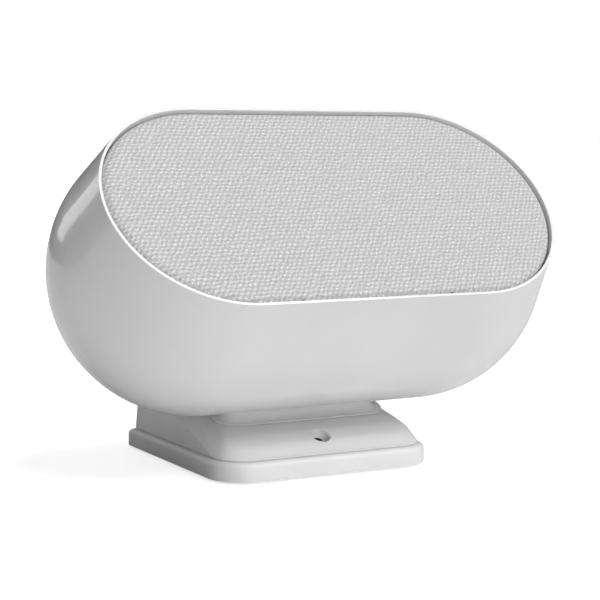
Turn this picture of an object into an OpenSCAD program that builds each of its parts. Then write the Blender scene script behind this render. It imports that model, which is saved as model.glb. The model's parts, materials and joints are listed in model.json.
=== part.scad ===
// Smart speaker: an oval cabinet with a flat cloth face, leaning back on a small foot.
// The cabinet tilts in a cradle on the foot. Millimetres, +Z up, the face looks towards -Y.

/* [Cabinet] */
// Radius of the round back and of both round ends, mm
body_r = 72.3; // [60:0.1:85]
// Half the distance between the centres of the round ends, mm
body_l = 62.1; // [50:0.1:80]
// Distance from the tilt axis forward to the flat face, mm
face_s = 51.3; // [45:0.1:60]
// Radius of the rim at the ends of the face, mm
rim_r = 61.9; // [55:0.1:66]
// Radius of the recess the grille sits in, mm
recess_r = 60.55; // [54:0.05:64]
// Thickness of the cabinet wall, mm
wall = 3; // [2:0.5:5]
// Lean of the face back from upright at rest, degrees
face_lean = 47; // [30:1:60]
// Height of the tilt axis above the table, mm
axis_z = 103.1; // [95:0.1:120]

/* [Foot] */
// Width of the foot plate, mm
foot_w = 122.7; // [100:0.1:150]
// Depth of the foot plate, mm
foot_d = 121.6; // [110:0.1:140]
// Corner radius of the front of the foot, mm
foot_corner = 19.1; // [12:0.1:25]
// Distance from the front of the foot back to the tilt axis, mm
foot_reach = 34.8; // [25:0.1:45]
// Height of the seam between plate and cover, mm
seam_z = 10.3; // [8:0.1:14]
// Slope of the cover's deck, degrees
deck_slope = 14; // [8:1:20]
// Diameter of the screw hole in the cover, mm
hole_d = 9.9; // [8:0.1:12]
// Half width of the neck under the cabinet, mm
neck_w2 = 40; // [34:0.5:44]

/* [Tilt clamp] */
// Angle of the clamp behind straight down, degrees
clamp_at = 31; // [28:0.5:34]
// Travel of the face upwards, degrees
tilt_up = 10; // [5:1:10]
// Travel of the face downwards, degrees
tilt_down = 15; // [5:1:15]

/* [Drivers] */
// Distance of each woofer from the middle, mm
woofer_x = 70; // [66:0.5:72]
// Radius of the woofer's flange, mm
woofer_r = 46.5; // [42:0.5:47]
// Radius of the tweeter's plate, mm
tweeter_r = 22.5; // [20:0.5:23]

/* [Hidden] */
$fn = 96;
pad_lift = 0.8;
plate_z = pad_lift;
hub = sqrt(face_s * face_s + rim_r * rim_r);
flare = atan2(face_s, rim_r) - acos(body_r / hub);
lean_y = rim_r * cos(face_lean) + face_s * sin(face_lean);
rear_y = foot_d - foot_reach;
axis_y = (lean_y - rear_y) / 2;
foot_y = axis_y - foot_reach;
inner_r = body_r - wall;
ledge_s = 30;
ledge_t = 3;
ledge_r = 54.4;
baffle_s = 35;
baffle_r = recess_r - 0.35;
cloth_t = 0.6;
grille_top = face_s - 0.1 - cloth_t;
grille_r = recess_r - 0.25 - cloth_t;
edge_r = 4.4;
saddle_gap = 0.8;
pad_gap = 0.3;
saddle_r = body_r + saddle_gap;
saddle_end = 60;
arc_r = 108;
arc_cy = 61.2;
arc_end = arc_cy - arc_r * sin(deck_slope);
arc_cz = 24.43 - arc_r * cos(deck_slope) + pad_lift;
arc_end_z = arc_cz + arc_r * cos(deck_slope);
cover_in = 3;
cover_front = 4.2;
cover_w2 = foot_w / 2 - cover_in;
cover_rear = foot_d - cover_in;
cover_z = seam_z + 0.2;
hole_y = 15.4;
neck_y = foot_reach + 3.5;
neck_rear = foot_reach + 74;
skirt_r = 9.5;
slot_w2 = 3.4;
panel_floor = 66;
panel_t = 2;
panel_w = 100;
panel_h = 36;
board_s = -30;
board_t = 1.6;
jack_z = 55;
baffle_screws_at = concat(
  [for (x = [-1, 1], y = [-1, 1], k = [21, body_l]) [x * k, y * 56.5]],
  [[-body_l - 56.5, 0], [body_l + 56.5, 0]]);
grille_pins_at = [for (x = [-41, 41], y = [-57.2, 57.2]) [x, y]];
posts_at = [for (s = [-1, 1], p = [[20, -32], [62, -32], [8, 32], [62, 32]]) [s * p[0], p[1]]];
panel_screws_at = [for (x = [-45.5, 45.5], y = [-13, 13]) [x, y]];
cover_screws_at = [for (x = [-50, 50], y = [31, 94]) [x, y]];
cradle_screws_at = [for (x = [-32, 32], y = [neck_y + 8, neck_rear - 8]) [x, y]];
clamp_seat = 90.8;

// ---- frames ----
module at_foot() {
  translate([0, foot_y, 0]) children();
}
module at_axis() {
  translate([0, axis_y, axis_z]) children();
}
module at_cabinet() {
  at_axis() rotate([face_lean, 0, 0]) children();
}
module at_panel() {
  at_axis() rotate([-90, 0, 0]) children();
}
module at_woofer(side) {
  at_cabinet() translate([side * woofer_x, 0, 0]) children();
}

// ---- shape helpers ----
// A half profile swept round a stadium: first coordinate outward, second up.
module stadium(l) {
  for (s = [-1, 1])
    translate([s * l, 0, 0]) rotate([0, 0, s > 0 ? -90 : 90])
      rotate_extrude(angle = 180) children();
  for (a = [0, 180])
    rotate([0, 0, a]) translate([-l, 0, 0]) rotate([90, 0, 90])
      linear_extrude(2 * l) children();
}
// A stadium-shaped plate between two heights.
module slab(l, r, z0, z1) {
  stadium(l) translate([0, z0]) square([r, z1 - z0]);
}
// Distance of the flared wall from the centre line at height z.
function flare_x(r, z) = (r - z * sin(flare)) / cos(flare);
// Half profile of the cabinet: round back, flared front, cut flat at z1.
module body_profile(r, z1) {
  intersection() {
    circle(r);
    translate([0, -r]) square([r, r + r * sin(flare)]);
  }
  polygon([[0, r * sin(flare) - 1], [r * cos(flare) - 1, r * sin(flare) - 1],
    [r * cos(flare), r * sin(flare)], [flare_x(r, z1), z1], [0, z1]]);
}
// A profile turned round the tilt axis from angle b0 to b1 behind straight down.
module arc_x(b0, b1) {
  rotate([0, 90, 0]) rotate([0, 0, b0]) rotate_extrude(angle = b1 - b0) children();
}
// A rod or hole that points away from the tilt axis at angle b.
module spoke(b, r0, r1, r) {
  rotate([b, 0, 0]) translate([0, 0, -r1]) cylinder(r = r, h = r1 - r0);
}
module ring(r0, r1, z0, z1) {
  translate([0, 0, z0]) difference() {
    cylinder(r = r1, h = z1 - z0);
    translate([0, 0, -1]) cylinder(r = r0, h = z1 - z0 + 2);
  }
}
module round_rect(w, h, r, t) {
  linear_extrude(t) {
    square([w - 2 * r, h], center = true);
    square([w, h - 2 * r], center = true);
    for (x = [-1, 1], y = [-1, 1])
      translate([x * (w / 2 - r), y * (h / 2 - r)]) circle(r);
  }
}

// ---- foot surfaces ----
// Height of the cover's top at distance y behind the front of the foot.
function deck_z(y) = y < arc_end
  ? arc_cz + sqrt(arc_r * arc_r - pow(y - arc_cy, 2))
  : arc_end_z + (y - arc_end) * tan(deck_slope);
// Half outline with a round front corner and a square rear corner: [x, y, nx, ny].
function outline(w2, y0, y1, rc, n) = concat(
  [for (i = [0 : n]) let (a = 90 * i / n)
    [w2 - rc + rc * sin(a), y0 + rc - rc * cos(a), sin(a), -cos(a)]],
  [for (i = [1 : n]) [w2, y0 + rc + (y1 - 8 - y0 - rc) * i / n, 1, 0]],
  [[w2, y1, 1, 1]]);
// A solid whose sides follow a half outline and its mirror image. rows[i][k] is
// [inset, height] of row k at station i; the first and last rows close flat.
module loft(stations, rows) {
  n = len(stations);
  m = len(rows[0]);
  pts = [for (s = [1, -1], i = [0 : n - 1], k = [0 : m - 1])
    let (p = stations[i], d = rows[i][k][0])
    [s * (p[0] - d * p[2]), p[1] - (len(rows[i][k]) > 2 ? rows[i][k][2] : d * p[3]),
      rows[i][k][1]]];
  l = n * m;
  side = [for (i = [0 : n - 2], k = [0 : m - 2])
    let (a = i * m + k, b = a + 1, c = a + m, d = c + 1) each [[a, b, d], [a, d, c]]];
  other = [for (f = side) [f[0] + l, f[2] + l, f[1] + l]];
  span = [for (i = [0 : n - 2]) let (a = i * m + m - 1, c = a + m)
    each [[a, a + l, c + l], [a, c + l, c]]];
  base = [for (i = [0 : n - 2]) let (a = i * m, c = a + m)
    each [[a, c, c + l], [a, c + l, a + l]]];
  front = [for (k = [0 : m - 2]) each [[k, k + l, k + 1 + l], [k, k + 1 + l, k + 1]]];
  q = (n - 1) * m;
  rear = [for (k = [0 : m - 2])
    each [[q + k, q + k + 1, q + k + 1 + l], [q + k, q + k + 1 + l, q + k + l]]];
  polyhedron(pts, concat(side, other, span, base, front, rear));
}
module plate_body() {
  r = 3;
  st = outline(foot_w / 2, 0, foot_d, foot_corner, 12);
  loft(st, [for (p = st) concat([[0, plate_z]],
    [for (a = [0 : 15 : 90]) [r * (1 - cos(a)), seam_z - r + r * sin(a)]])]);
}
// Inset and drop of the flat band between the cover's side and its deck, which grows
// from nothing at the front corner.
function band_w(y) = min(9, 0.207 * max(0, y - 20));
function band_z(y) = min(cover_z + 0.6 + 0.345 * max(0, y - 20),
  deck_z(y) - 0.8 * band_w(y) - 1);
// Rows of the cover at one station, t inside its surface.
function cover_rows(p, t) = let (
    y = p[1] - (p[3] > 0 ? 0.2 * (deck_z(p[1]) - cover_z) : 0), w = p[2] == 1 ? band_w(y) : 0,
    low = p[2] == 1 ? band_z(y) : cover_z + 0.6, z0 = t > 0 ? cover_z - 1 : cover_z,
    za = max(low - t, z0 + 0.6), zb = w > 0 ? max(low + 0.8 * w - t, za + 0.1) : za,
    top = deck_z(y - 6 * min(0, p[3])) - t, r = min(8.5 - t / 6, 2 + 1.5 * max(0, top - zb)))
  concat([[0, z0], [0, w > 0 ? za : (z0 + za) / 2], [w, zb]],
    [for (u = [0.1, 0.22, 0.35, 0.5, 0.68, 0.85, 1]) let (d = w + r * u,
        y1 = p[3] > 0 ? y : y - d * p[3])
      [d, zb + (deck_z(y1) - t - zb) * (1 - pow(1 - u, 2))]]);
module cover_body(t) {
  st = t > 0 ? outline(cover_w2 - t, 16, cover_rear - t - 1, 12, 12)
    : outline(cover_w2, cover_front, cover_rear, foot_corner - cover_in, 12);
  loft(st, [for (p = st) let (rows = cover_rows(p, t))
    p[3] > 0 ? [for (q = rows) [q[0], q[1], 0.2 * (q[1] - cover_z)]] : rows]);
}

// ---- foot ----
module foot_plate() {
  color("white") at_foot() difference() {
    union() {
      difference() {
        plate_body();
        translate([-52, 24, plate_z + 2.5]) cube([104, 88, 20]);
      }
      translate([-cover_w2 + 2.5, 12, seam_z - 0.5])
        difference() {
          cube([2 * cover_w2 - 5, cover_rear - 15, 0.7]);
          translate([5, 12, -1]) cube([2 * cover_w2 - 15, cover_rear - 32, 3]);
        }
      for (p = cover_screws_at)
        translate([p[0], p[1], plate_z + 1]) cylinder(r = 5, h = cover_z - plate_z - 1);
      for (p = cradle_screws_at)
        translate([p[0], p[1], plate_z + 1]) cylinder(r = 7, h = 6.2);
    }
    translate([0, hole_y, -1]) cylinder(r = 2.25, h = 20);
    for (p = cover_screws_at) translate([p[0], p[1], -1]) {
      cylinder(r = 3.2, h = 6);
      cylinder(r = 1.6, h = 20);
    }
    for (p = cradle_screws_at) translate([p[0], p[1], -1]) {
      cylinder(r = 4.2, h = 5.3);
      cylinder(r = 2.1, h = 20);
    }
    for (x = [-48, 48], y = [17, foot_d - 8])
      translate([x, y, -1]) cylinder(r = 6.05, h = plate_z + 1 + 1.2);
    translate([0, foot_reach, axis_z]) spoke(clamp_at, 95, 140, 5.5);
  }
}
module foot_cover() {
  color("white") at_foot() difference() {
    union() {
      difference() {
        cover_body(0);
        cover_body(3);
      }
      translate([0, hole_y, cover_z]) cylinder(r = 6.2, h = 14 - cover_z);
      for (p = cover_screws_at)
        translate([p[0], p[1], cover_z]) cylinder(r = 4, h = deck_z(p[1]) - cover_z - 6);
    }
    translate([0, hole_y, 13.8]) cylinder(d = hole_d, h = 60);
    translate([0, hole_y, 0]) cylinder(r = 2.6, h = 60);
    translate([0, hole_y, deck_z(hole_y) - 0.6]) rotate([25, 0, 0])
      cylinder(r1 = hole_d / 2, r2 = hole_d / 2 + 1.6, h = 1.4);
    for (p = cover_screws_at) translate([p[0], p[1], 0]) cylinder(r = 1.5, h = 21);
    translate([-neck_w2 - 0.1, neck_y - 0.1, 0])
      cube([2 * neck_w2 + 0.2, neck_rear - neck_y + 0.2, 90]);
  }
}
module foot_ballast() {
  color("silver") at_foot() translate([-42, 28, plate_z + 2.5]) difference() {
    cube([84, 50, 4.5]);
    for (p = cradle_screws_at)
      translate([p[0] + 42, p[1] - 28, -1]) cylinder(r = 8, h = 9);
  }
}
module foot_pads() {
  color("dimgray") at_foot() for (x = [-48, 48], y = [17, foot_d - 8])
    translate([x, y, 0]) cylinder(r = 6, h = 2);
}
module foot_screws() {
  color("gray") at_foot() for (p = cover_screws_at) translate([p[0], p[1], 0]) {
    translate([0, 0, 2.8]) difference() {
      cylinder(r = 2.9, h = 2.2);
      translate([0, 0, -1]) cylinder(r = 1.4, h = 2.2, $fn = 6);
    }
    translate([0, 0, 4.9]) cylinder(r = 1.5, h = 13);
  }
}
module neck_profile() {
  polygon([[neck_y, 14], [neck_y, 45],
    [foot_reach + saddle_r * sin(saddle_end), axis_z - saddle_r * cos(saddle_end)],
    [foot_reach + 79 * sin(saddle_end), axis_z - 79 * cos(saddle_end)],
    [neck_rear, 40], [neck_rear, 14]]);
}
module skirt_profile() {
  difference() {
    translate([-1, 0.1]) square([skirt_r + 1, skirt_r - 1]);
    translate([skirt_r, skirt_r + 0.5]) circle(skirt_r - 0.1);
  }
}
module cradle() {
  rc = 2.7;
  color("white") at_foot() difference() {
    union() {
      difference() {
        translate([-neck_w2, 0, 0]) rotate([90, 0, 90])
          linear_extrude(2 * neck_w2) neck_profile();
        translate([-neck_w2 + 4, 0, 0]) rotate([90, 0, 90])
          linear_extrude(2 * neck_w2 - 8) difference() {
            translate([neck_y + 4, 0]) square([neck_rear - neck_y - 8, 62]);
            translate([foot_reach, axis_z]) circle(saddle_r + 7);
            polygon([[neck_rear - 13, 75], [neck_rear - 4, 37], [neck_rear + 9, 37],
              [neck_rear + 9, 75]]);
          }
      }
      translate([0, neck_y, deck_z(neck_y)]) rotate([deck_slope, 0, 0]) {
        for (s = [-1, 1]) {
          translate([s * (neck_w2 - rc), rc, 0]) rotate([0, 0, s > 0 ? -90 : 180])
            rotate_extrude(angle = 90) {
              translate([rc, 0]) skirt_profile();
              translate([0, 0.1]) square([rc, skirt_r - 1]);
            }
        }
        translate([-neck_w2, rc, 0]) mirror([1, 0, 0]) rotate([90, 0, 180])
          mirror([1, 0, 0]) linear_extrude(neck_rear - neck_y - 4) skirt_profile();
        translate([neck_w2, rc, 0]) rotate([90, 0, 180]) mirror([1, 0, 0])
          linear_extrude(neck_rear - neck_y - 4) skirt_profile();
        translate([-neck_w2 + rc, 0, 0]) rotate([90, 0, 90]) mirror([1, 0, 0])
          linear_extrude(2 * (neck_w2 - rc)) skirt_profile();
      }
      for (p = cradle_screws_at)
        translate([p[0], p[1], 8]) cylinder(r = 5, h = p[1] < 60 ? 22 : 41);
      intersection() {
        translate([0, foot_reach, axis_z]) spoke(clamp_at, saddle_r - 2, clamp_seat, 9);
        translate([-20, 0, 10]) cube([40, 118, 60]);
      }
    }
    translate([-70, foot_reach, axis_z]) rotate([0, 90, 0]) cylinder(r = saddle_r, h = 140);
    translate([0, foot_reach, axis_z]) {
      spoke(clamp_at, 60, 130, 2.6);
      for (x = [-25, 25]) translate([x, 0, 0])
        arc_x(8, 56) translate([saddle_r - 1, -9]) square([1 + body_r + 2.3 - saddle_r, 18]);
    }
    for (p = cradle_screws_at) translate([p[0], p[1], 0]) cylinder(r = 2, h = 22);
  }
}
module cradle_screws() {
  color("gray") at_foot() for (p = cradle_screws_at) translate([p[0], p[1], 0]) {
    translate([0, 0, 1.6]) difference() {
      cylinder(r = 3.9, h = 2.7);
      translate([0, 0, -1]) cylinder(r = 1.8, h = 2.5, $fn = 6);
    }
    translate([0, 0, 4.2]) cylinder(r = 2, h = 16);
  }
}
module saddle_pad(side) {
  color("dimgray") at_axis() translate([25 * side, 0, 0])
    arc_x(8, 56) translate([body_r + pad_gap, -9]) square([2, 18]);
}
module saddle_pad_left() {
  saddle_pad(-1);
}
module saddle_pad_right() {
  saddle_pad(1);
}
module clamp_screw() {
  color("silver") at_axis() difference() {
    union() {
      spoke(clamp_at, 63, clamp_seat + 2, 2.4);
      spoke(clamp_at, clamp_seat + 1.2, clamp_seat + 6.2, 4.2);
    }
    rotate([clamp_at, 0, 0]) translate([0, 0, -clamp_seat - 7])
      cylinder(r = 2.3, h = 3.5, $fn = 6);
  }
}
module clamp_washer() {
  color("silver") at_axis() rotate([clamp_at, 0, 0])
    ring(2.5, 5, -clamp_seat - 1.2, -clamp_seat);
}
module clamp_shoe() {
  color("dimgray") at_axis() difference() {
    arc_x(clamp_at - 7, clamp_at + 7) translate([62.5, -9]) square([6.4, 18]);
    spoke(clamp_at, 50, 80, 2.5);
  }
}

// ---- cabinet ----
module cabinet_shell() {
  color("white") difference() {
    union() {
      at_cabinet() {
        stadium(body_l) difference() {
          body_profile(body_r, face_s);
          body_profile(inner_r, ledge_s - ledge_t);
          square([ledge_r, ledge_s + 1]);
          translate([0, ledge_s]) square([recess_r, face_s]);
        }
        for (p = baffle_screws_at)
          translate([p[0], p[1], ledge_s - 12]) cylinder(r = 3.6, h = 10);
        for (p = posts_at)
          translate([p[0], p[1], -63]) cylinder(r = 3, h = 63 + board_s - board_t);
      }
      at_panel() intersection() {
        translate([0, 0, panel_floor - 3]) round_rect(panel_w + 6, panel_h + 6, 6, 12);
        translate([-60, 0, 0]) rotate([0, 90, 0]) cylinder(r = body_r - 1, h = 120);
      }
    }
    at_cabinet() {
      for (p = baffle_screws_at)
        translate([p[0], p[1], ledge_s - 10]) cylinder(r = 1.25, h = 11);
      for (p = posts_at)
        translate([p[0], p[1], board_s - board_t - 8]) cylinder(r = 1.25, h = 9);
      arc_x(clamp_at - tilt_down - face_lean, clamp_at + tilt_up - face_lean)
        translate([inner_r - 4, -slot_w2]) square([wall + 6, 2 * slot_w2]);
      for (b = [clamp_at - tilt_down, clamp_at + tilt_up])
        spoke(b - face_lean, inner_r - 4, body_r + 2, slot_w2);
    }
    at_panel() {
      translate([0, 0, panel_floor]) round_rect(panel_w, panel_h, 4, 12);
      translate([0, 0, panel_floor - 5]) round_rect(panel_w - 20, panel_h - 12, 3, 12);
      for (p = panel_screws_at)
        translate([p[0], p[1], panel_floor - 4]) cylinder(r = 1.25, h = 5);
    }
  }
}
module tilt_track() {
  b0 = clamp_at - tilt_down - face_lean - 9;
  b1 = clamp_at + tilt_up - face_lean + 9;
  color("lightgray") at_cabinet() difference() {
    arc_x(b0 - 1.6, b1 + 1.6) translate([58, -14]) square([inner_r - 58, 28]);
    arc_x(b0, b1) translate([60, -12]) square([inner_r - 58, 24]);
  }
}
module baffle() {
  color("gray") at_cabinet() difference() {
    slab(body_l, baffle_r, ledge_s + 1, baffle_s);
    for (s = [-1, 1]) translate([s * woofer_x, 0, 0]) {
      cylinder(r = 42.2, h = 60);
      for (a = [45 : 90 : 315]) rotate([0, 0, a]) translate([44.3, 0, 0])
        cylinder(r = 1.1, h = 60);
    }
    cylinder(r = 17.5, h = 60);
    for (a = [45 : 90 : 315]) rotate([0, 0, a]) translate([20, 0, 0])
      cylinder(r = 0.9, h = 60);
    for (p = baffle_screws_at) translate([p[0], p[1], 0]) cylinder(r = 1.5, h = 60);
    for (p = grille_pins_at) translate([p[0], p[1], 32]) cylinder(r = 2, h = 9);
  }
}
module baffle_gasket() {
  color("black") at_cabinet() difference() {
    stadium(body_l) translate([ledge_r, ledge_s]) square([baffle_r - ledge_r, 1]);
    for (p = baffle_screws_at) translate([p[0], p[1], 0]) cylinder(r = 1.5, h = 60);
  }
}
module screw(r_head, h_head, r, l) {
  difference() {
    cylinder(r = r_head, h = h_head);
    translate([0, 0, h_head - 1]) cylinder(r = r_head * 0.5, h = 2, $fn = 6);
  }
  translate([0, 0, -l]) cylinder(r = r, h = l + 0.2);
}
module baffle_screws() {
  color("gray") at_cabinet() for (p = baffle_screws_at)
    translate([p[0], p[1], baffle_s]) screw(1.85, 1.8, 1.25, 13);
}
// Half profile of the grille, its outer surface moved in by d.
module grille_profile(d, z0) {
  translate([0, z0]) square([grille_r - d, grille_top - edge_r - z0]);
  translate([0, z0]) square([grille_r - edge_r, grille_top - d - z0]);
  translate([grille_r - edge_r, grille_top - edge_r]) circle(edge_r - d);
}
module grille_frame() {
  color("black") at_cabinet() {
    difference() {
      union() {
        stadium(body_l) difference() {
          grille_profile(0, baffle_s);
          grille_profile(1, baffle_s - 2);
        }
        for (p = grille_pins_at)
          translate([p[0], p[1], 32.2]) cylinder(r = 1.95, h = grille_top - 33);
      }
      for (i = [-7 : 7]) let (x = 15 * i, over = max(0, abs(x) + 6 - body_l),
        h = sqrt(pow(grille_r - 5, 2) - over * over))
        translate([x - 6, -h, grille_top - 4]) cube([12, 2 * h, 8]);
    }
  }
}
module grille_cloth() {
  color("gainsboro") at_cabinet() stadium(body_l) difference() {
    grille_profile(-cloth_t, baffle_s + 4);
    grille_profile(0, baffle_s + 2);
  }
}

// ---- woofers, each about its own axis ----
module woofer_basket(side) {
  color("dimgray") at_woofer(side) difference() {
    rotate_extrude() polygon([[40, 37.5], [woofer_r, 37.5], [woofer_r, 35], [41.5, 35],
      [33, 17], [33, 12], [14.5, 12], [14.5, 13.5], [27, 13.5], [27, 18.5], [30, 18.5],
      [38.8, 36], [38.8, 37.5]]);
    for (a = [0 : 90 : 270]) rotate([0, 0, a]) translate([25, -14, 20])
      cube([20, 28, 12]);
    for (a = [45 : 90 : 315]) rotate([0, 0, a]) translate([44.3, 0, 0])
      cylinder(r = 1.1, h = 60);
  }
}
module woofer_yoke(side) {
  color("gray") at_woofer(side) rotate_extrude()
    polygon([[4, -10], [30, -10], [30, -6], [12.2, -6], [12.2, 12], [4, 12]]);
}
module woofer_magnet(side) {
  color("black") at_woofer(side) ring(17, 32, -6, 8);
}
module woofer_top_plate(side) {
  color("silver") at_woofer(side) ring(13.9, 30, 8, 12);
}
module woofer_spider(side) {
  color("orange") at_woofer(side) rotate_extrude()
    polygon(concat(
      [for (i = [0 : 16]) [13.6 + i, 19.2 + 0.7 * (i > 1 && i < 14 ? sin(i * 90) : 0)]],
      [for (i = [16 : -1 : 0]) [13.6 + i, 18.5 + 0.7 * (i > 1 && i < 14 ? sin(i * 90) : 0)]]));
}
module woofer_coil(side) {
  color("peru") at_woofer(side) ring(12.75, 13.35, 5, 22);
}
module woofer_cone(side) {
  color("black") at_woofer(side) rotate_extrude()
    polygon([[13.35, 20], [13.35, 22], [31.6, 37.2], [33, 37.2], [33, 36.6], [32, 36.6],
      [14.2, 21.2], [14.2, 20]]);
}
module woofer_surround(side) {
  color("dimgray") at_woofer(side) rotate_extrude() {
    translate([36.5, 37.5]) difference() {
      circle(3.5);
      circle(2.9);
      translate([-5, -5]) square([10, 5]);
    }
    translate([31.8, 37.5]) square([1.7, 0.6]);
    translate([39.5, 37.5]) square([2.3, 0.6]);
    translate([31.8, 37.2]) square([1.2, 0.4]);
  }
}
module woofer_dust_cap(side) {
  color("black") at_woofer(side) rotate_extrude() intersection() {
    translate([0, 10.4]) difference() {
      circle(20);
      circle(19.4);
    }
    translate([0, 23.75]) square([20, 20]);
  }
}
module woofer_left_basket() {
  woofer_basket(-1);
}
module woofer_left_yoke() {
  woofer_yoke(-1);
}
module woofer_left_magnet() {
  woofer_magnet(-1);
}
module woofer_left_top_plate() {
  woofer_top_plate(-1);
}
module woofer_left_spider() {
  woofer_spider(-1);
}
module woofer_left_coil() {
  woofer_coil(-1);
}
module woofer_left_cone() {
  woofer_cone(-1);
}
module woofer_left_surround() {
  woofer_surround(-1);
}
module woofer_left_dust_cap() {
  woofer_dust_cap(-1);
}
module woofer_right_basket() {
  woofer_basket(1);
}
module woofer_right_yoke() {
  woofer_yoke(1);
}
module woofer_right_magnet() {
  woofer_magnet(1);
}
module woofer_right_top_plate() {
  woofer_top_plate(1);
}
module woofer_right_spider() {
  woofer_spider(1);
}
module woofer_right_coil() {
  woofer_coil(1);
}
module woofer_right_cone() {
  woofer_cone(1);
}
module woofer_right_surround() {
  woofer_surround(1);
}
module woofer_right_dust_cap() {
  woofer_dust_cap(1);
}
module driver_screws() {
  color("gray") {
    for (s = [-1, 1], a = [45 : 90 : 315]) at_woofer(s) rotate([0, 0, a])
      translate([44.3, 0, 37.5]) screw(1.9, 1.5, 1.1, 8);
    for (a = [45 : 90 : 315]) at_cabinet() rotate([0, 0, a])
      translate([20, 0, 37.5]) screw(1.6, 1.2, 0.9, 6.4);
  }
}

// ---- tweeter ----
module tweeter_plate() {
  color("dimgray") at_cabinet() difference() {
    rotate_extrude() polygon([[15, 35], [tweeter_r, 35], [tweeter_r, 37.5], [17, 37.5],
      [15, 36.4]]);
    for (a = [45 : 90 : 315]) rotate([0, 0, a]) translate([20, 0, 0])
      cylinder(r = 0.9, h = 60);
  }
}
module tweeter_magnet() {
  color("black") at_cabinet() difference() {
    translate([0, 0, 14]) cylinder(r = 16.5, h = 21);
    translate([0, 0, 32]) cylinder(r = 13.8, h = 5);
  }
}
module tweeter_surround() {
  color("dimgray") at_cabinet() rotate_extrude() {
    translate([13.6, 35.1]) difference() {
      circle(1.2);
      circle(0.8);
      translate([-3, -3]) square([6, 3]);
    }
    translate([14.4, 35]) square([0.6, 0.5]);
    translate([12.4, 35]) square([0.3, 0.5]);
  }
}
module tweeter_dome() {
  color("silver") at_cabinet() rotate_extrude() {
    intersection() {
      translate([0, 21.5]) difference() {
        circle(18.4);
        circle(18);
      }
      translate([0, 35]) square([12.4, 10]);
    }
    translate([11.8, 34]) square([0.6, 1.4]);
  }
}

// ---- electronics ----
module board(side) {
  at_cabinet() difference() {
    translate([side > 0 ? 3 : -67, -37, board_s - board_t]) cube([64, 74, board_t]);
    for (p = posts_at) translate([p[0], p[1], -40]) cylinder(r = 1.5, h = 20);
  }
}
module main_board() {
  color("green") {
    board(1);
    at_cabinet() {
      translate([48, 10, board_s - 0.01]) cube([12, 12, 1.6]);
      translate([12, -20, board_s - 0.01]) cube([16, 6, 5]);
    }
  }
}
module shield_can() {
  color("silver") at_cabinet() translate([14, 2, board_s]) cube([26, 26, 3]);
}
module amp_heatsink() {
  color("gray") at_cabinet() translate([32, -30, board_s]) {
    cube([28, 20, 4]);
    for (i = [0 : 5]) translate([i * 5.2, 0, 3]) cube([2, 20, 11]);
  }
}
module power_board() {
  color("green") {
    board(-1);
    at_cabinet() translate([-24, -26, board_s - 0.01]) cube([12, 8, 10]);
  }
}
module transformer() {
  color("goldenrod") at_cabinet() {
    translate([-44, -12, board_s]) cube([24, 24, 4]);
    translate([-41, -9, board_s + 3.9]) cube([18, 18, 10.2]);
    translate([-44, -12, board_s + 14]) cube([24, 24, 4]);
  }
}
module capacitors() {
  color("navy") at_cabinet() for (p = [[-54, -16], [-54, 2], [-34, 24]])
    translate([p[0], p[1], board_s]) cylinder(r = 6, h = 16);
}
module board_screws() {
  color("gray") at_cabinet() for (p = posts_at)
    translate([p[0], p[1], board_s]) screw(2.4, 1.8, 1.25, 8);
}
module mic_board() {
  color("green") at_cabinet() {
    translate([-30, 40, baffle_s]) cube([60, 9, 1.2]);
    for (x = [-25, 0, 25]) translate([x - 1.8, 43, baffle_s + 1.1]) cube([3.6, 3, 1.2]);
  }
}

// ---- connector panel, seen along its own outward axis ----
module connector_panel() {
  color("gray") at_panel() difference() {
    translate([0, 0, panel_floor]) round_rect(panel_w - 0.6, panel_h - 0.6, 3.7, panel_t);
    translate([-26, 0, 60]) round_rect(22, 13, 3, 12);
    translate([30, 0, 60]) cylinder(r = 4, h = 12);
    translate([0, 0, 60]) cylinder(r = 4, h = 12);
    translate([15, 0, 60]) round_rect(8.6, 3.4, 1, 12);
    for (p = panel_screws_at) translate([p[0], p[1], 60]) cylinder(r = 1.5, h = 12);
  }
}
module panel_screws() {
  color("gray") at_panel() for (p = panel_screws_at)
    translate([p[0], p[1], panel_floor + panel_t]) screw(2.4, 1.6, 1.25, 5.5);
}
module power_inlet() {
  color("black") at_panel() difference() {
    union() {
      translate([-26, 0, 52]) round_rect(21.6, 12.6, 2.8, 17);
      translate([-26, 0, panel_floor + panel_t]) round_rect(25, 16, 3, 1.5);
    }
    difference() {
      translate([-26, 0, 58]) {
        for (x = [-4, 4]) translate([x, 0, 0]) cylinder(r = 4.2, h = 20);
        translate([-4, -3.2, 0]) cube([8, 6.4, 20]);
      }
      for (x = [-4, 4]) translate([-26 + x, 0, 50]) cylinder(r = 1.15, h = 17.5);
    }
  }
}
module aux_socket() {
  color("black") at_panel() translate([30, 0, 0]) difference() {
    union() {
      translate([-6, -6, jack_z + board_t]) cube([12, 12, panel_floor - jack_z - board_t]);
      translate([0, 0, 60]) cylinder(r = 3.8, h = panel_floor + panel_t + 0.8 - 60);
    }
    translate([0, 0, 55]) cylinder(r = 1.8, h = 20);
  }
}
module jack_board() {
  color("green") at_panel() {
    translate([-7, -11, jack_z]) cube([45, 13.9, board_t]);
    translate([13, -11, jack_z]) cube([25, 22, board_t]);
    translate([-3, -3, jack_z + board_t - 0.01]) cube([6, 6, 4.4]);
    translate([9.5, -3.5, jack_z + board_t - 0.01]) cube([11, 7, 5]);
  }
}
module pair_button() {
  color("gray") at_panel() {
    translate([0, 0, 62.8]) cylinder(r = 3.6, h = 6.2);
    translate([0, 0, 64]) cylinder(r = 5, h = 1.6);
    translate([0, 0, 61.9]) cylinder(r = 1.6, h = 1);
  }
}
module mic_switch() {
  color("white") at_panel() {
    translate([13.8, -1.3, 62]) cube([2.4, 2.6, 7]);
    translate([11.8, -2.6, 62]) cube([6.4, 5.2, 1.6]);
  }
}

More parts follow.
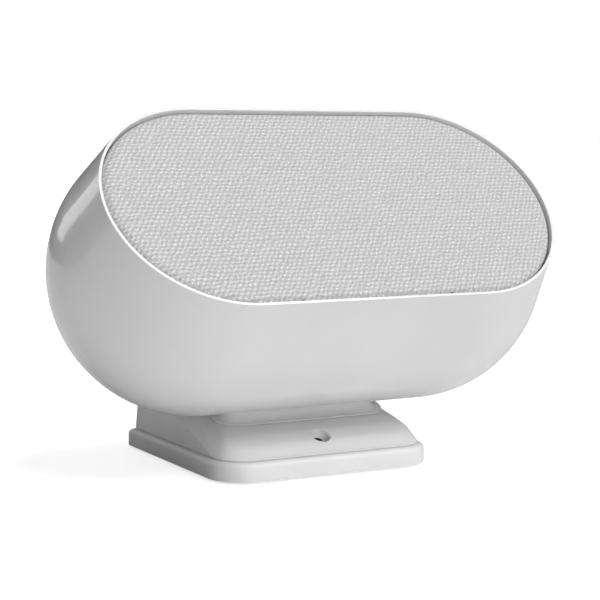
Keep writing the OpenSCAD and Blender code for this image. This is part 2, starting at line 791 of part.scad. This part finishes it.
// ---- what is drawn ----
foot_plate();
foot_cover();
foot_ballast();
foot_pads();
foot_screws();
cradle();
cradle_screws();
saddle_pad_left();
saddle_pad_right();
clamp_screw();
clamp_washer();
clamp_shoe();
cabinet_shell();
tilt_track();
baffle();
baffle_gasket();
baffle_screws();
grille_frame();
grille_cloth();
woofer_left_basket();
woofer_left_yoke();
woofer_left_magnet();
woofer_left_top_plate();
woofer_left_spider();
woofer_left_coil();
woofer_left_cone();
woofer_left_surround();
woofer_left_dust_cap();
woofer_right_basket();
woofer_right_yoke();
woofer_right_magnet();
woofer_right_top_plate();
woofer_right_spider();
woofer_right_coil();
woofer_right_cone();
woofer_right_surround();
woofer_right_dust_cap();
driver_screws();
tweeter_plate();
tweeter_magnet();
tweeter_surround();
tweeter_dome();
main_board();
shield_can();
amp_heatsink();
power_board();
transformer();
capacitors();
board_screws();
mic_board();
connector_panel();
panel_screws();
power_inlet();
aux_socket();
jack_board();
pair_button();
mic_switch();
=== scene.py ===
import json
import math

import bmesh
import bpy
from mathutils import Matrix, Vector


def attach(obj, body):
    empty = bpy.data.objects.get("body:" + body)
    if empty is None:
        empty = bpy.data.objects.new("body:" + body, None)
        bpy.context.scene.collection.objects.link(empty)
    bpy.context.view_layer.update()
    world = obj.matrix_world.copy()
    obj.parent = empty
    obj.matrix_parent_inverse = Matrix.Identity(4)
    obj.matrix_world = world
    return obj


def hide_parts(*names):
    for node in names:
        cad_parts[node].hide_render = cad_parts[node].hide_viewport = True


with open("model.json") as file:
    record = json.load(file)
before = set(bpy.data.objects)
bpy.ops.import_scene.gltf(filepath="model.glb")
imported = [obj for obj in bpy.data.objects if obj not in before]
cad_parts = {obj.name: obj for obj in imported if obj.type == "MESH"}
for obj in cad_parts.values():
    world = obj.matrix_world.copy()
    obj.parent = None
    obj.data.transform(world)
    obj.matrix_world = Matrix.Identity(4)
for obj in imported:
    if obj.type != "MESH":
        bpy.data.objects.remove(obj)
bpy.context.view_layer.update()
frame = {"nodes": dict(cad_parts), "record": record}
nodes = frame["nodes"]

# The cabinet's own frame, in metres: the tilt axis and the lean of the face.
AXIS_Y = -0.003533
AXIS_Z = 0.1031
LEAN = math.radians(47)

# ---- camera ----
CAM_AT = Vector((-0.39960, -0.73868, 0.16660))
CAM_AIM = Vector((0.473923, 0.875266, -0.096470))
CAM_RIGHT = Vector((0.879460, -0.475969, 0.002037))
SENSOR_MM = 36.0
LENS_MM = 97.854


def make_camera():
    cam = bpy.data.cameras.new("camera")
    obj = bpy.data.objects.new("camera", cam)
    bpy.context.scene.collection.objects.link(obj)
    up = CAM_RIGHT.cross(CAM_AIM).normalized()
    m = Matrix((CAM_RIGHT, up, -CAM_AIM)).transposed().to_4x4()
    m.translation = CAM_AT
    obj.matrix_world = m
    cam.sensor_width = SENSOR_MM
    cam.lens = LENS_MM
    cam.clip_start = 0.01
    bpy.context.scene.camera = obj


make_camera()


# ---- material helpers ----
def math_node(tree, op, a, b=0.0):
    """A math node whose inputs are numbers or other nodes' outputs."""
    n = tree.nodes.new("ShaderNodeMath")
    n.operation = op
    for i, v in enumerate((a, b)):
        if isinstance(v, (int, float)):
            n.inputs[i].default_value = v
        else:
            tree.links.new(v, n.inputs[i])
    return n.outputs[0]


class Mat:
    """A Principled material and short calls to build its pattern nodes."""

    def __init__(self, name, color, roughness, metallic=0.0, coat=0.0, coat_rough=0.05,
                 sheen=0.0):
        self.m = bpy.data.materials.new(name)
        self.m.use_nodes = True
        self.nt = self.m.node_tree
        self.b = self.nt.nodes["Principled BSDF"]
        self.b.inputs["Base Color"].default_value = (*color, 1)
        self.b.inputs["Roughness"].default_value = roughness
        self.b.inputs["Metallic"].default_value = metallic
        self.b.inputs["Coat Weight"].default_value = coat
        self.b.inputs["Coat Roughness"].default_value = coat_rough
        self.b.inputs["Sheen Weight"].default_value = sheen
        self.at = self.nt.nodes.new("ShaderNodeTexCoord").outputs["Object"]

    def node(self, kind, inputs=(), links=(), **props):
        n = self.nt.nodes.new(kind)
        for k, v in props.items():
            setattr(n, k, v)
        for k, v in dict(inputs).items():
            n.inputs[k].default_value = v
        for k, v in dict(links).items():
            self.nt.links.new(v, n.inputs[k])
        return n

    def mapped(self, scale=(1, 1, 1), rotation=(0, 0, 0), location=(0, 0, 0)):
        return self.node("ShaderNodeMapping", {"Scale": scale, "Rotation": rotation,
                                               "Location": location},
                         {"Vector": self.at}).outputs["Vector"]

    def noise(self, scale, detail=2.0, at=None):
        return self.node("ShaderNodeTexNoise", {"Scale": scale, "Detail": detail},
                         {"Vector": at or self.at}).outputs["Fac"]

    def math(self, op, a, b=0.0):
        return math_node(self.nt, op, a, b)

    def span(self, value, lo, hi, out_lo, out_hi):
        return self.node("ShaderNodeMapRange",
                         {"From Min": lo, "From Max": hi, "To Min": out_lo,
                          "To Max": out_hi}, {"Value": value}).outputs["Result"]

    def colours(self, value, *stops):
        """Colour by value; stops are (position, colour)."""
        n = self.node("ShaderNodeValToRGB", links={"Fac": value})
        ramp = n.color_ramp
        while len(ramp.elements) < len(stops):
            ramp.elements.new(0.5)
        for e, (p, c) in zip(ramp.elements, stops):
            e.position = p
            e.color = (*c, 1)
        self.nt.links.new(n.outputs["Color"], self.b.inputs["Base Color"])

    def rough(self, value, lo, hi, a=0.3, b=0.7):
        self.nt.links.new(self.span(value, a, b, lo, hi), self.b.inputs["Roughness"])

    def bump(self, value, strength, distance):
        n = self.node("ShaderNodeBump", {"Strength": strength, "Distance": distance},
                      {"Height": value})
        self.nt.links.new(n.outputs["Normal"], self.b.inputs["Normal"])


def tint(c, f):
    return tuple(min(1.0, x * f) for x in c)


def moulded(name, color, rough, coat=0.0, strength=0.15, coat_rough=0.05):
    """Moulded plastic: fine spark texture, faint cloudiness and uneven gloss."""
    m = Mat(name, color, rough, coat=coat, coat_rough=coat_rough)
    fine = m.noise(2500.0, 3.0)
    wide = m.noise(22.0, 3.0)
    m.colours(wide, (0.3, tint(color, 0.97)), (0.7, tint(color, 1.02)))
    m.rough(m.noise(60.0, 2.0), rough * 0.96, rough * 1.04)
    m.bump(fine, strength, 0.00004)
    return m.m


def rubber(name, color):
    m = Mat(name, color, 0.8)
    fine = m.noise(3200.0, 2.0)
    m.colours(m.noise(90.0, 4.0), (0.3, tint(color, 0.8)), (0.7, tint(color, 1.25)))
    m.rough(fine, 0.7, 0.92)
    m.bump(fine, 0.35, 0.00008)
    return m.m


def metal(name, color, rough, stretch=(1, 1, 40), scale=120.0):
    """Metal with a fine brushed or turned grain along one direction."""
    m = Mat(name, color, rough, metallic=1.0)
    grain = m.noise(scale, 4.0, m.mapped(stretch))
    m.colours(grain, (0.25, tint(color, 0.82)), (0.75, tint(color, 1.1)))
    m.rough(grain, rough * 0.75, rough * 1.3)
    m.bump(grain, 0.12, 0.00003)
    return m.m


def painted(name, color, rough):
    """Powder-coated or plated surface with orange peel and small scuffs."""
    m = Mat(name, color, rough, coat=0.15, coat_rough=0.3)
    peel = m.noise(1400.0, 2.0)
    scuff = m.noise(300.0, 8.0)
    m.colours(scuff, (0.35, tint(color, 0.85)), (0.62, color), (0.72, tint(color, 1.5)))
    m.rough(scuff, rough * 0.85, rough * 1.15)
    m.bump(peel, 0.3, 0.00005)
    return m.m


WEAVE_REPEAT = 0.0023
WEAVE_WANDER = 0.0028
WARP_TURN = math.radians(-33)


def cloth_material():
    """Light grey acoustic cloth: a skewed plain weave with small open holes. Its colour is
    painted lighter on the weave's raised crossings and darker in its dips (painted highlight
    and painted shade), over random spots of real uneven tone.
    """
    m = Mat("grille_weave", (0.5, 0.5, 0.5), 0.92, sheen=0.25)
    m.b.inputs["Sheen Roughness"].default_value = 0.5
    at = m.mapped(rotation=(-LEAN, 0, 0))
    wander = m.node("ShaderNodeTexNoise", {"Scale": 260.0, "Detail": 3.0},
                    {"Vector": at}).outputs["Color"]
    shift = m.node("ShaderNodeVectorMath", {1: (0.5, 0.5, 0.5)}, {0: wander},
                   operation="SUBTRACT").outputs[0]
    shift = m.node("ShaderNodeVectorMath", {"Scale": WEAVE_WANDER}, {0: shift},
                   operation="SCALE").outputs[0]
    place = m.node("ShaderNodeVectorMath", links={0: at, 1: shift}).outputs[0]
    xyz = m.node("ShaderNodeSeparateXYZ", links={"Vector": place})
    k = math.pi / WEAVE_REPEAT
    x = m.math("ADD", m.math("MULTIPLY", xyz.outputs["X"], k * math.cos(WARP_TURN)),
               m.math("MULTIPLY", xyz.outputs["Y"], k * math.sin(WARP_TURN)))
    y = m.math("MULTIPLY", xyz.outputs["Y"], k)
    u = m.math("SINE", m.math("ADD", x, y))
    v = m.math("SINE", m.math("SUBTRACT", x, y))
    weave = m.math("MULTIPLY", u, v)
    height = m.span(weave, -1.0, 1.0, 0.0, 1.0)
    spots = m.noise(1250.0, 2.0, at)
    # Colour and bump both follow this value: painted highlight on the weave's raised
    # crossings, painted shade in its dips, plus random spots of real tone.
    relief_and_painted_shade = m.math("ADD", m.math("MULTIPLY", height, 0.42),
                   m.math("MULTIPLY", spots, 0.88))
    m.colours(relief_and_painted_shade, (0.35, (0.36, 0.36, 0.36)), (0.55, (0.49, 0.49, 0.49)),
              (0.75, (0.56, 0.56, 0.56)), (0.88, (0.78, 0.78, 0.78)))
    m.rough(spots, 0.85, 1.0)
    m.bump(relief_and_painted_shade, 1.0, 0.0005)
    return m.m


def board_material():
    """Solder mask with copper tracks under it; the bright pads are not drawn."""
    base, track = (0.008, 0.07, 0.028), (0.02, 0.15, 0.06)
    m = Mat("circuit_board", base, 0.3, coat=0.4, coat_rough=0.15)
    at = m.mapped(rotation=(-LEAN, 0, 0))
    brick = m.node("ShaderNodeTexBrick",
                   {"Scale": 260.0, "Mortar Size": 0.12, "Color1": (0, 0, 0, 1),
                    "Color2": (0.15, 0.15, 0.15, 1), "Mortar": (1, 1, 1, 1)},
                   {"Vector": at})
    wide = m.noise(120.0, 0.0, at)
    lines = m.math("MULTIPLY", brick.outputs["Fac"],
                   m.math("GREATER_THAN", wide, 0.48))
    m.colours(lines, (0.2, base), (0.6, track))
    m.bump(lines, 0.4, 0.00008)
    m.rough(wide, 0.25, 0.4)
    return m.m


def wound_material(name, color, pitch):
    """Turns of fine wire wound side by side, with painted shade darkening the grooves
    between turns.
    """
    m = Mat(name, color, 0.35, metallic=1.0)
    at = m.mapped(rotation=(-LEAN, 0, 0))
    z = m.node("ShaderNodeSeparateXYZ", links={"Vector": at}).outputs["Z"]
    winding_relief_and_shade = m.math("SINE", m.math("MULTIPLY", z, 2 * math.pi / pitch))
    # Painted shade: the colour falls to about a third in the grooves between neighbouring
    # turns.
    m.colours(m.span(winding_relief_and_shade, -1, 1, 0, 1), (0.1, tint(color, 0.35)), (0.7, color))
    m.rough(m.noise(700.0), 0.28, 0.45)
    m.bump(winding_relief_and_shade, 0.8, 0.0001)
    return m.m


def fibre_material(name, color, rough, scale=420.0):
    """Pressed paper pulp or doped cotton with visible fibres."""
    m = Mat(name, color, rough, sheen=0.1)
    fibre = m.noise(scale, 6.0, m.mapped((1, 4, 4)))
    cross = m.noise(scale, 6.0, m.mapped((4, 1, 4)))
    both = m.math("MAXIMUM", fibre, cross)
    m.colours(both, (0.4, tint(color, 0.6)), (0.75, tint(color, 1.6)))
    m.rough(both, rough * 0.9, 1.0)
    m.bump(both, 0.5, 0.0002)
    return m.m


WHITE = (0.80, 0.80, 0.80)
MATERIALS = {
    "shell_white": moulded("gloss_white", WHITE, 0.3, coat=0.7, strength=0.04),
    "grille_cloth": cloth_material(),
    "black_plastic": moulded("black_moulding", (0.018, 0.018, 0.02), 0.45, strength=0.5),
    "grey_plastic": moulded("grey_moulding", (0.16, 0.165, 0.17), 0.5, strength=0.6),
    "rubber_grey": rubber("grey_rubber", (0.05, 0.05, 0.052)),
    "gasket_foam": rubber("black_foam", (0.015, 0.015, 0.015)),
    "screw_steel": metal("zinc_steel", (0.52, 0.53, 0.55), 0.32),
    "ballast_steel": painted("black_paint", (0.035, 0.036, 0.038), 0.5),
    "magnet_ferrite": painted("ferrite", (0.03, 0.03, 0.034), 0.6),
    "copper": wound_material("wound_copper", (0.75, 0.33, 0.16), 0.0003),
    "cone_black": fibre_material("paper_cone", (0.014, 0.014, 0.015), 0.8),
    "spider_cloth": fibre_material("doped_cotton", (0.48, 0.25, 0.07), 0.85, 900.0),
    "board_green": board_material(),
    "heatsink_aluminium": metal("anodised", (0.1, 0.1, 0.105), 0.38, (40, 1, 1)),
    "shield_steel": metal("tin_plate", (0.66, 0.67, 0.68), 0.28, (1, 30, 1)),
    "transformer_ferrite": painted("ferrite_core", (0.06, 0.045, 0.03), 0.55),
    "capacitor_sleeve": moulded("blue_sleeve", (0.01, 0.018, 0.07), 0.28, coat=0.4),
    "dome_aluminium": metal("bright_dome", (0.78, 0.79, 0.81), 0.2, (1, 1, 1), 60.0),
}
SATIN = moulded("satin_white", WHITE, 0.42, coat=0.25, strength=0.12, coat_rough=0.2)
SATIN_NODES = ("foot_plate", "foot_cover", "cradle")
SLOT_OF = {p["node"]: p["material_slot"] for p in frame["record"]["subparts"]}
for name, obj in nodes.items():
    obj.data.materials.clear()
    obj.data.materials.append(SATIN if name in SATIN_NODES else MATERIALS[SLOT_OF[name]])


# ---- pieces ----
def at_cabinet(x, y, z):
    """A point of the cabinet's own frame, in metres, in the shared frame."""
    c, s = math.cos(LEAN), math.sin(LEAN)
    return (x, AXIS_Y + y * c - z * s, AXIS_Z + y * s + z * c)


def add_piece(name, bm, body, material, replaces=()):
    me = bpy.data.meshes.new(name)
    bmesh.ops.recalc_face_normals(bm, faces=bm.faces)
    bm.to_mesh(me)
    bm.free()
    me.materials.append(material)
    for p in me.polygons:
        p.use_smooth = True
    obj = bpy.data.objects.new(name, me)
    bpy.context.scene.collection.objects.link(obj)
    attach(obj, body)
    if replaces:
        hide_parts(*replaces)
    return obj


# The grille's cloth, pulled over the frame's rounded edge: half length of the straight
# part, outer radius of the flat top, height of the top, edge radius, hem height.
CLOTH_L = 0.0621
CLOTH_FLAT_R = 0.0553
CLOTH_TOP = 0.0512
CLOTH_ROLL = 0.0050
CLOTH_HEM = 0.0400
CLOTH_THICK = 0.0005


def cloth_path(inset):
    """Points (radius, height) from the middle of the cloth out to its hem."""
    roll = CLOTH_ROLL - inset
    path = [(CLOTH_FLAT_R * i / 30, CLOTH_TOP - inset) for i in range(31)]
    path += [(CLOTH_FLAT_R + roll * math.sin(a), CLOTH_TOP - CLOTH_ROLL + roll * math.cos(a))
             for a in (math.radians(11.25 * i) for i in range(1, 9))]
    drop = CLOTH_TOP - CLOTH_ROLL - CLOTH_HEM
    path += [(CLOTH_FLAT_R + roll, CLOTH_TOP - CLOTH_ROLL - drop * i / 5)
             for i in range(1, 6)]
    return path


def stadium_ring(r, arc=48, straight=60):
    ring = []
    for side in (1, -1):
        ring += [(side * (CLOTH_L + r * math.sin(a)), side * -r * math.cos(a))
                 for a in (math.pi * i / arc for i in range(arc))]
        ring += [(side * CLOTH_L * (1 - 2 * i / straight), side * r)
                 for i in range(straight)]
    return ring


def make_cloth():
    bm = bmesh.new()
    layers = [[[bm.verts.new(at_cabinet(x, y, s)) for x, y in stadium_ring(r)]
               for r, s in cloth_path(inset)] for inset in (0.0, CLOTH_THICK)]
    outer, inner = layers

    def join(a, b):
        n = len(a)
        for i in range(n):
            j = (i + 1) % n
            bm.faces.new((a[i], a[j], b[j], b[i]))

    for rings in layers:
        for a, b in zip(rings, rings[1:]):
            join(a, b)
    join(outer[-1], inner[-1])
    bmesh.ops.remove_doubles(bm, verts=bm.verts, dist=1e-6)
    obj = add_piece("grille_cloth_sheet", bm, "cabinet",
                    MATERIALS["grille_cloth"], ["grille_cloth"])


make_cloth()


# ---- floor and light ----
FLOOR_TONE = 0.78
FLOOR_GLOW = 0.72
FLOOR_HALF = 40.0
FLOOR_DROP = 0.0004
STRIP_AT = Vector((-0.74, 1.62, 0.85))
STRIP_AIM = Vector((0, 0, 0.1))
SKY_BASE, SKY_RIGHT, SKY_REAR, SKY_TOP = 0.03, 0.06, 0.04, 0.36


def make_floor():
    bm = bmesh.new()
    bmesh.ops.create_grid(bm, x_segments=1, y_segments=1, size=FLOOR_HALF)
    me = bpy.data.meshes.new("floor")
    bm.to_mesh(me)
    bm.free()
    obj = bpy.data.objects.new("floor", me)
    bpy.context.scene.collection.objects.link(obj)
    m = Mat("floor_white", (FLOOR_TONE,) * 3, 0.95)
    m.b.inputs["Specular IOR Level"].default_value = 0.0
    m.b.inputs["Emission Color"].default_value = (1, 1, 1, 1)
    eye = m.nt.nodes.new("ShaderNodeLightPath").outputs["Is Camera Ray"]
    m.nt.links.new(m.math("MULTIPLY", eye, FLOOR_GLOW), m.b.inputs["Emission Strength"])
    me.materials.append(m.m)
    obj.location.z = -FLOOR_DROP


def make_world():
    """White to the eye; as light, strongest overhead and dim on the left."""
    world = bpy.data.worlds.new("studio")
    bpy.context.scene.world = world
    world.use_nodes = True
    nt = world.node_tree
    bg = nt.nodes["Background"]

    def calc(op, a, b):
        return math_node(nt, op, a, b)

    parts = nt.nodes.new("ShaderNodeSeparateXYZ")
    nt.links.new(nt.nodes.new("ShaderNodeTexCoord").outputs["Generated"],
                 parts.inputs["Vector"])
    across = calc("MULTIPLY", parts.outputs["X"], SKY_RIGHT)
    along = calc("MULTIPLY", parts.outputs["Y"], SKY_REAR)
    above = calc("MULTIPLY", calc("MAXIMUM", parts.outputs["Z"], 0.0), SKY_TOP)
    sky = calc("ADD", calc("ADD", across, along), calc("ADD", above, SKY_BASE))
    eye = nt.nodes.new("ShaderNodeLightPath").outputs["Is Camera Ray"]
    nt.links.new(calc("MAXIMUM", calc("MAXIMUM", sky, 0.01), eye), bg.inputs["Strength"])
    bg.inputs["Color"].default_value = (1, 1, 1, 1)


def make_sun(name, towards, power, spread):
    light = bpy.data.lights.new(name, "SUN")
    light.energy = power
    light.angle = math.radians(spread)
    obj = bpy.data.objects.new(name, light)
    bpy.context.scene.collection.objects.link(obj)
    obj.rotation_euler = (-Vector(towards)).to_track_quat("-Z", "Y").to_euler()


def make_strip():
    """A tall soft box behind the left end that shows only in reflections, as a band."""
    light = bpy.data.lights.new("strip", "AREA")
    light.shape = "RECTANGLE"
    light.size, light.size_y = 0.5, 1.1
    light.energy = 2.8
    obj = bpy.data.objects.new("strip", light)
    bpy.context.scene.collection.objects.link(obj)
    obj.visible_diffuse = False
    obj.location = STRIP_AT
    obj.rotation_euler = (STRIP_AIM - STRIP_AT).to_track_quat("-Z", "Y").to_euler()


make_floor()
make_world()
make_sun("key", (0.32, -0.5, 0.8), 2.35, 46)
make_sun("fill", (-0.02, -1.0, 0.04), 1.25, 30)
make_strip()
bpy.context.scene.view_settings.view_transform = "Standard"
